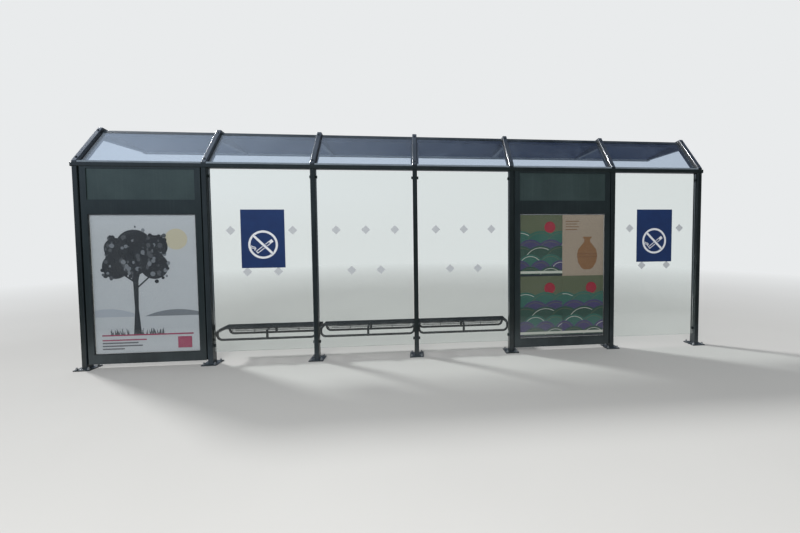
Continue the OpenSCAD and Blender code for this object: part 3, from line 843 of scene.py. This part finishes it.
for name in ("left_sign", "right_sign"):
    sheet = openPrint(name, -1, symbol["drop"])
    outer = symbol["ringRadius"] + symbol["ringWidth"] / 2
    stamp(sheet, circleLine(0, 0, outer, count=72), signWhite)
    stamp(sheet, circleLine(0, 0, outer - symbol["ringWidth"], count=72), signBlue)
    a = symbol["cigaretteLength"] / 2
    b = symbol["cigaretteWidth"] / 2
    line = symbol["line"]
    stamp(sheet, onCigarette(oblong(-a, -b, a, b)), signWhite)
    stamp(sheet, onCigarette(oblong(line - a, line - b, a - symbol["filter"], b - line)), signBlue)
    for startA, startB in symbol["smokeStarts"]:
        wisp = [(startA - a + symbol["smokeSwing"] * math.sin(symbol["smokeTurn"] * k / 16),
                 startB + symbol["smokeLength"] * k / 16) for k in range(17)]
        stamp(sheet, bandLine(onCigarette(wisp), line), signWhite)
    corner = (symbol["ringRadius"] - symbol["ringWidth"] / 4) * math.sqrt(0.5)
    for width, ink in ((symbol["barWidth"] + symbol["barEdge"], signBlue), (symbol["barWidth"], signWhite)):
        stamp(sheet, bandLine([(-corner, corner), (corner, -corner)], width), ink)
    makePiece(name + "_symbol", sheet["bm"], sheet["inks"])

# Warning diamonds on the panes' outer faces, in two rows, left off where a sign hangs

diamonds = {"diagonal": 0.115, "thick": 0.0004, "upperZ": 1.685, "lowerZ": 1.160,
            "upperStep": 0.375, "lowerStep": 0.1875}
signs = [boxOf("left_sign"), boxOf("right_sign")]
bm = bmesh.new()
for bay in shelter["glassBays"]:
    middle = (postX[bay] + postX[bay + 1]) / 2
    spots = [(middle + k * diamonds["upperStep"], diamonds["upperZ"]) for k in (-1, 0, 1)]
    spots += [(middle + k * diamonds["lowerStep"], diamonds["lowerZ"]) for k in (-1, 1)]
    for x, z in spots:
        r = diamonds["diagonal"] / 2
        top = min([r] + [low.z - z for low, high in signs if low.x < x < high.x])
        outline = clipLine([(-r, 0.0), (0.0, -r), (r, 0.0), (0.0, r)], -r, -r, r, top)
        if outline:
            prism(bm, outline, diamonds["thick"], facing(-1, -shelter["paneHalf"], x, z))
makePiece("glass_diamonds", bm, [frosted])

print("stage 7: signs and diamonds made")

# Bench mesh: thin cross wires under the seat rods, and the bolts of the lugs

bench = {"wirePitch": 0.0115, "wireDia": 0.0048, "wireSides": 6, "wireFootZ": 0.295, "endGap": 0.08,
         "rollRadius": 0.036, "rodHalf": 0.003, "lugInset": 0.0175, "lugY": 0.073, "lugZ": 0.362,
         "headWidth": 0.017, "headHeight": 0.007, "washerDia": 0.020, "washerHeight": 0.002}
bm = bmesh.new()
bolts = bmesh.new()
for number, bay in enumerate(shelter["benchBays"], 1):
    seatLow, seatHigh = boxOf("bench_seat_%d" % number)
    middle = (postX[bay] + postX[bay + 1]) / 2
    under = 2 * bench["rodHalf"] + bench["wireDia"] / 2
    top = seatHigh.z - under
    frontY = seatHigh.y - under
    radius = bench["rollRadius"] - bench["rodHalf"] - bench["wireDia"] / 2
    line = [(seatLow.y, top), (frontY - radius, top)]
    line += [(frontY - radius + radius * math.sin(a), top - radius + radius * math.cos(a))
             for a in [math.pi / 2 * k / 6 for k in range(1, 7)]]
    line.append((frontY, bench["wireFootZ"]))
    turns = [2 * math.pi * k / bench["wireSides"] for k in range(bench["wireSides"])]
    rings = []
    for (y, z), across in zip(line, acrossLine(line)):
        rings.append([Vector((math.cos(a), across.x * math.sin(a), across.y * math.sin(a)))
                      * bench["wireDia"] / 2 + Vector((0.0, y, z)) for a in turns])
    count = math.floor((seatHigh.x - seatLow.x - bench["endGap"]) / bench["wirePitch"])
    for k in range(count + 1):
        shift = Vector((middle + (k - count / 2) * bench["wirePitch"], 0.0, 0.0))
        skin(bm, [[point + shift for point in ring] for ring in rings])
    for x in (postX[bay] + bench["lugInset"], postX[bay + 1] - bench["lugInset"]):
        boltHead(bolts, bench, pointing((x, bench["lugY"], bench["lugZ"]), (0.0, 1.0, 0.0)))
makePiece("bench_cross_wires", bm, [benchPaintShaded], smoothDeg=50)
makePiece("bench_lug_bolts", bolts, [stainless], smoothDeg=35)

# Glass clamps: slim forks that hold the panes' edges close to the posts, with a screw on both faces

clamp = {"reach": 0.017, "thick": 0.024, "slot": 0.011, "web": 0.006, "height": 0.034, "inset": 0.006,
         "screwDia": 0.008, "screwHeight": 0.003, "screwInset": 0.010, "screwSides": 20}
bm = bmesh.new()
screws = bmesh.new()
low, high = boxOf("glass_clamps")
thick = clamp["thick"] / 2
slot = clamp["slot"] / 2
fork = [(0.0, -thick), (clamp["reach"], -thick), (clamp["reach"], -slot), (clamp["web"], -slot),
        (clamp["web"], slot), (clamp["reach"], slot), (clamp["reach"], thick), (0.0, thick)]
dome = [(clamp["screwDia"] / 2 * math.cos(a), clamp["screwHeight"] * math.sin(a))
        for a in [math.pi / 2 * k / 5 for k in range(5)]]
dome = [(0.0, 0.0)] + dome + [(0.0, clamp["screwHeight"])]
for bay in shelter["glassBays"]:
    for post, turn in ((bay, 1), (bay + 1, -1)):
        x = postX[post] + turn * shelter["postWidth"] / 2
        for z in (low.z + clamp["inset"], high.z - clamp["inset"] - clamp["height"]):
            prism(bm, fork, clamp["height"], axesAt((x, 0, z), (turn, 0, 0), (0, 1, 0), (0, 0, 1)))
            for side in (-1, 1):
                head = (x + turn * clamp["screwInset"], side * thick, z + clamp["height"] / 2)
                lathe(screws, dome, clamp["screwSides"], pointing(head, (0.0, side, 0.0)))
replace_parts(makePiece("glass_clamp_forks", bm, [framePaint]), "glass_clamps")
makePiece("clamp_screws", screws, [framePaint], smoothDeg=40)

print("stage 8: bench wires, lug bolts and clamps made")

# Floor, world, lamps and camera; the mirrored room is "rear" behind the wall and "ahead" beyond the roof

backdrop = {"color": "#e9ebec", "floor": "#cdccc9", "worn": "#c5c4c1", "cloudMm": 2500, "fade": (6.0, 16.0),
            "reach": 90.0, "rear": "#42474d", "rearY": (-0.2, -2.2), "ahead": "#7b838b",
            "aheadY": (1.6, 4.5)}


def mirrorRays(tree):
    # 1 for rays that a surface has mirrored, 0 for the camera's own and for those straight through a pane
    path = addNode(tree, "LightPath").outputs
    return addNode(tree, "Math", (path["Is Glossy Ray"], path["Glossy Depth"]), 0, operation="MINIMUM")


def studioFloor(look):
    material, tree, place = newMaterial("studioFloorPale")
    cloud = addNode(tree, "TexNoise", {
        "Vector": place, "Scale": perMetre(look["cloudMm"]), "Detail": 4.0}, "Fac")
    near = addNode(tree, "BsdfPrincipled", {
        "Base Color": layered(tree, look["floor"], [(cloud, look["worn"], 0.3, 0.7, 0.0, 0.5)]),
        "Roughness": 0.85, "Specular IOR Level": 0.1}, 0)
    # the floor fades into the backdrop, and is mirrored as dim as the walls above it
    far = addNode(tree, "VectorMath", (place,), "Value", operation="LENGTH")
    amount = addNode(tree, "MapRange", (far, *look["fade"]), 0)
    across = addNode(tree, "SeparateXYZ", (place,), "Y")
    layers = []
    for part in ("rear", "ahead"):
        reached = addNode(tree, "MapRange", (across, *look[part + "Y"]), 0)
        dim = addNode(tree, "Math", (mirrorRays(tree), reached), 0, operation="MULTIPLY")
        amount = addNode(tree, "Math", (amount, dim), 0, operation="MAXIMUM")
        layers.append((dim, look[part]))
    away = addNode(tree, "Emission", (layered(tree, look["color"], layers), 1.0), 0)
    addNode(tree, "OutputMaterial", (addNode(tree, "MixShader", (amount, near, away), 0),))
    return material


bm = bmesh.new()
bmesh.ops.create_grid(bm, x_segments=2, y_segments=2, size=backdrop["reach"])
floor = meshObject("studio_floor", bm, [studioFloor(backdrop)])

worldLook = {"light": "#f2f5f8", "lightStrength": 0.50, "overLeft": "#c4d6f2", "overRight": "#626d87",
             "behindLeft": "#cddefa", "behindRight": "#2c3036", "sides": (0.55, -0.55), "falloff": 1.8,
             "horizonZ": (0.0, 0.10), "rearY": (0.2, -0.4), "ceilingZ": (0.15, 0.65)}
world = bpy.data.worlds.new("studioWorld")
world.use_nodes = True
tree = world.node_tree
tree.nodes.clear()
path = addNode(tree, "LightPath").outputs
seen = addNode(tree, "Math", (path["Is Camera Ray"], path["Is Glossy Ray"]), 0, operation="MAXIMUM")
seen = addNode(tree, "Math", (seen, path["Is Transmission Ray"]), 0, operation="MAXIMUM")
# glass and paint also mirror the studio's soft ceiling and rear wall, brighter on the key lamp's side
toward = addNode(tree, "SeparateXYZ", (addNode(tree, "TexCoord", out="Generated"),)).outputs
aside = addNode(tree, "MapRange", (toward["X"], *worldLook["sides"]), 0)
aside = addNode(tree, "Math", (aside, worldLook["falloff"]), 0, operation="POWER")
ceiling = layered(tree, worldLook["overRight"], [(aside, worldLook["overLeft"])])
rear = layered(tree, worldLook["behindRight"], [(aside, worldLook["behindLeft"])])
rear = layered(tree, backdrop["rear"], [(toward["Z"], rear, *worldLook["horizonZ"])])
room = layered(tree, backdrop["ahead"], [
    (toward["Y"], rear, *worldLook["rearY"]), (toward["Z"], ceiling, *worldLook["ceilingZ"])])
shown = layered(tree, backdrop["color"], [(mirrorRays(tree), room)])
lighting = addNode(tree, "Background", (worldLook["light"], worldLook["lightStrength"]), 0)
shown = addNode(tree, "Background", (shown, 1.0), 0)
addNode(tree, "OutputWorld", (addNode(tree, "MixShader", (seen, lighting, shown), 0),))
scene.world = world

# the far key lamp gives the low light from beyond the left end, the soft fill lamp stands by the camera,
# and the glint lamp only draws the light line along the rolled corners of three roof frames
farSpot = {"kind": "SUN", "place": (-9.8, 7.2, 10.5), "aim": (0.0, 0.2, 1.5), "mirrored": True}
lamps = {
    "keyLamp": {**farSpot, "beam": {"energy": 2.15, "angle": 0.14}},
    "glintLamp": {**farSpot, "beam": {"energy": 6.5, "angle": 0.06}, "onto": roofTubes[4:]},
    "fillLamp": {"kind": "AREA", "place": (-2.0, -9.0, 6.0), "aim": (0.0, 0.0, 1.4),
                 "mirrored": False, "beam": {"energy": 560, "shape": "DISK", "size": 6.0}},
}
for name, look in lamps.items():
    lamp = bpy.data.lights.new(name, look["kind"])
    for key, value in look["beam"].items():
        setattr(lamp, key, value)
    holder = bpy.data.objects.new(name, lamp)
    holder.matrix_world = pointing(look["place"], Vector(look["place"]) - Vector(look["aim"]))
    holder.visible_camera = False
    holder.visible_transmission = False
    holder.visible_glossy = look["mirrored"]
    if "onto" in look:
        holder.visible_diffuse = False
        receivers = bpy.data.collections.new(name + "Receivers")
        for piece in look["onto"]:
            receivers.objects.link(piece)
        holder.light_linking.receiver_collection = receivers
    scene.collection.objects.link(holder)

# camera at the photograph's place, fitted to the posts, beams and ridge in an 800 x 533 frame
view = {"place": (0.0071, -5.0715, 1.6291), "headingDeg": 6.264, "tiltDeg": -2.638, "rollDeg": -0.3965,
        "focusPx": 380.0, "centrePx": (457.9, 250.9), "framePx": (800.0, 533.0), "sensorMm": 36.0}
heading, tilt, roll = [math.radians(view[key]) for key in ("headingDeg", "tiltDeg", "rollDeg")]
forward = Vector((math.sin(heading) * math.cos(tilt), math.cos(heading) * math.cos(tilt), math.sin(tilt)))
right = Vector((math.cos(heading), -math.sin(heading), 0.0))
level = axesAt(view["place"], right, right.cross(forward), -forward)
wide, tall = view["framePx"]
centreX, centreY = view["centrePx"]
lens = bpy.data.cameras.new("photoCamera")
lens.sensor_width = view["sensorMm"]
lens.lens = view["focusPx"] * view["sensorMm"] / wide
lens.shift_x = (wide / 2 - centreX) / wide
lens.shift_y = (centreY - tall / 2) / wide
lens.clip_end = 200.0
photoCamera = bpy.data.objects.new("photoCamera", lens)
photoCamera.matrix_world = level @ Matrix.Rotation(roll, 4, "Z")
scene.collection.objects.link(photoCamera)
scene.camera = photoCamera

print("stage 9: floor, lamps and camera placed")
